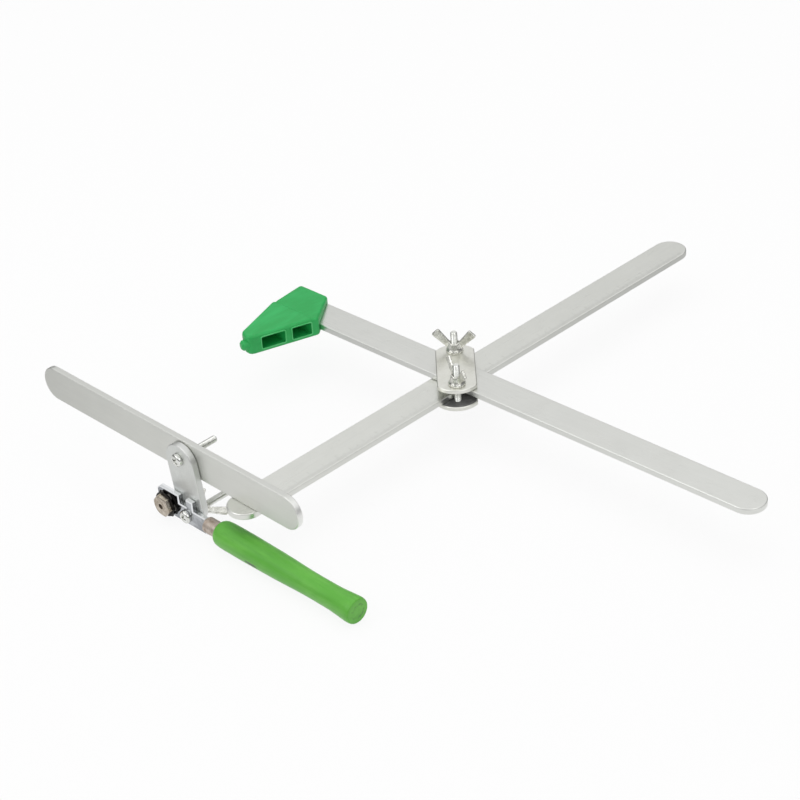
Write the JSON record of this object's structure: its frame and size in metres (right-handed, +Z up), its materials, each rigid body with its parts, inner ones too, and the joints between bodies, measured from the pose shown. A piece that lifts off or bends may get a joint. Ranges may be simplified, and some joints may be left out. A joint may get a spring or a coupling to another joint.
{
  "type": "glass bottle cutter",
  "caption": "Glass bottle cutter: flat metal bars crossed in a wing-nut clamp, a fence with a swinging wheel-turret cutter and green handle, and a green plastic bottle shoe.",
  "frame": {"origin": "centre of the clamp's underside, below the crossing of the two bars", "axes": "+Z up out of the clamp plates, +X along the scale arm away from the fence, +Y towards the bottle shoe"},
  "size_m": [0.3683, 0.3749, 0.0489],
  "materials": {
    "arm_metal": "satin, long-grained",
    "fence_metal": "satin",
    "plate_metal": "zinc-plated, satin",
    "bolt_zinc": "bright zinc",
    "cast_zinc": "cast, zinc-plated",
    "head_chrome": "polished",
    "turret_bronze": "satin bronze",
    "carrier_black": "black oxide",
    "wheel_steel": "ground",
    "pad_rubber": "matte",
    "ferrule_metal": "satin",
    "handle_green": "green lacquer",
    "shoe_green": "moulded"
  },
  "bodies": {
    "frame": {"scale_arm": "arm_metal", "fence": "fence_metal", "fence_screw_1": "bolt_zinc", "fence_screw_2": "bolt_zinc", "swing_bolt": "bolt_zinc", "swing_lock_nut": "bolt_zinc"},
    "clamp": {"clamp_bottom_plate": "plate_metal", "clamp_pad": "pad_rubber", "clamp_top_plate": "plate_metal", "clamp_bolt_front": "bolt_zinc", "clamp_bolt_rear": "bolt_zinc"},
    "front_wing_nut": {"clamp_wing_nut_front": "cast_zinc"},
    "rear_wing_nut": {"clamp_wing_nut_rear": "cast_zinc"},
    "cross_arm": {"cross_arm": "arm_metal", "tip_shoe": "shoe_green"},
    "swing": {"swing_plate": "plate_metal", "cutter_bolt": "bolt_zinc"},
    "cutter_wing_nut": {"cutter_wing_nut": "cast_zinc"},
    "cutter": {"cutter_head": "head_chrome", "turret_screw": "turret_bronze", "ferrule": "ferrule_metal", "handle": "handle_green"},
    "turret": {"turret_carrier": "carrier_black"},
    "wheel_1": {"scoring_wheel_1": "wheel_steel"},
    "wheel_2": {"scoring_wheel_2": "wheel_steel"},
    "wheel_3": {"scoring_wheel_3": "wheel_steel"},
    "wheel_4": {"scoring_wheel_4": "wheel_steel"},
    "wheel_5": {"scoring_wheel_5": "wheel_steel"},
    "wheel_6": {"scoring_wheel_6": "wheel_steel"}
  },
  "joints": [
    {"name": "clamp_slide", "type": "slide", "parent": "frame", "child": "clamp", "axis": [1, 0, 0], "range_m": [-0.04, 0.15]},
    {"name": "cross_arm_swing", "type": "hinge", "parent": "clamp", "child": "cross_arm", "pos_m": [0, 0, 0.00915], "axis": [0, 0, 1], "range_deg": [-1.5, 30]},
    {"name": "front_nut_turn", "type": "hinge", "parent": "clamp", "child": "front_wing_nut", "pos_m": [-0.01206, -0.01253, 0.0167], "axis": [0, 0, 1], "continuous": true},
    {"name": "rear_nut_turn", "type": "hinge", "parent": "clamp", "child": "rear_wing_nut", "pos_m": [0.01206, 0.01253, 0.0167], "axis": [0, 0, 1], "continuous": true},
    {"name": "swing_turn", "type": "hinge", "parent": "frame", "child": "swing", "pos_m": [-0.1613, 0.0459, 0.0174], "axis": [1, 0, 0], "range_deg": [-5, 40]},
    {"name": "cutter_nut_turn", "type": "hinge", "parent": "swing", "child": "cutter_wing_nut", "pos_m": [-0.1562, 0.04075, -0.0151], "axis": [1, 0, 0], "continuous": true},
    {"name": "cutter_turn", "type": "hinge", "parent": "swing", "child": "cutter", "pos_m": [-0.16505, 0.04075, -0.0151], "axis": [1, 0, 0], "range_deg": [-5, 90]},
    {"name": "turret_turn", "type": "hinge", "parent": "cutter", "child": "turret", "pos_m": [-0.16815, 0.05525, -0.01249], "axis": [1, 0, 0], "continuous": true},
    {"name": "wheel_1_turn", "type": "hinge", "parent": "turret", "child": "wheel_1", "pos_m": [-0.16815, 0.06115, -0.01249], "axis": [1, 0, 0], "continuous": true},
    {"name": "wheel_2_turn", "type": "hinge", "parent": "turret", "child": "wheel_2", "pos_m": [-0.16815, 0.0582, -0.00739], "axis": [1, 0, 0], "continuous": true},
    {"name": "wheel_3_turn", "type": "hinge", "parent": "turret", "child": "wheel_3", "pos_m": [-0.16815, 0.0523, -0.00739], "axis": [1, 0, 0], "continuous": true},
    {"name": "wheel_4_turn", "type": "hinge", "parent": "turret", "child": "wheel_4", "pos_m": [-0.16815, 0.04935, -0.01249], "axis": [1, 0, 0], "continuous": true},
    {"name": "wheel_5_turn", "type": "hinge", "parent": "turret", "child": "wheel_5", "pos_m": [-0.16815, 0.0523, -0.0176], "axis": [1, 0, 0], "continuous": true},
    {"name": "wheel_6_turn", "type": "hinge", "parent": "turret", "child": "wheel_6", "pos_m": [-0.16815, 0.0582, -0.0176], "axis": [1, 0, 0], "continuous": true}
  ]
}
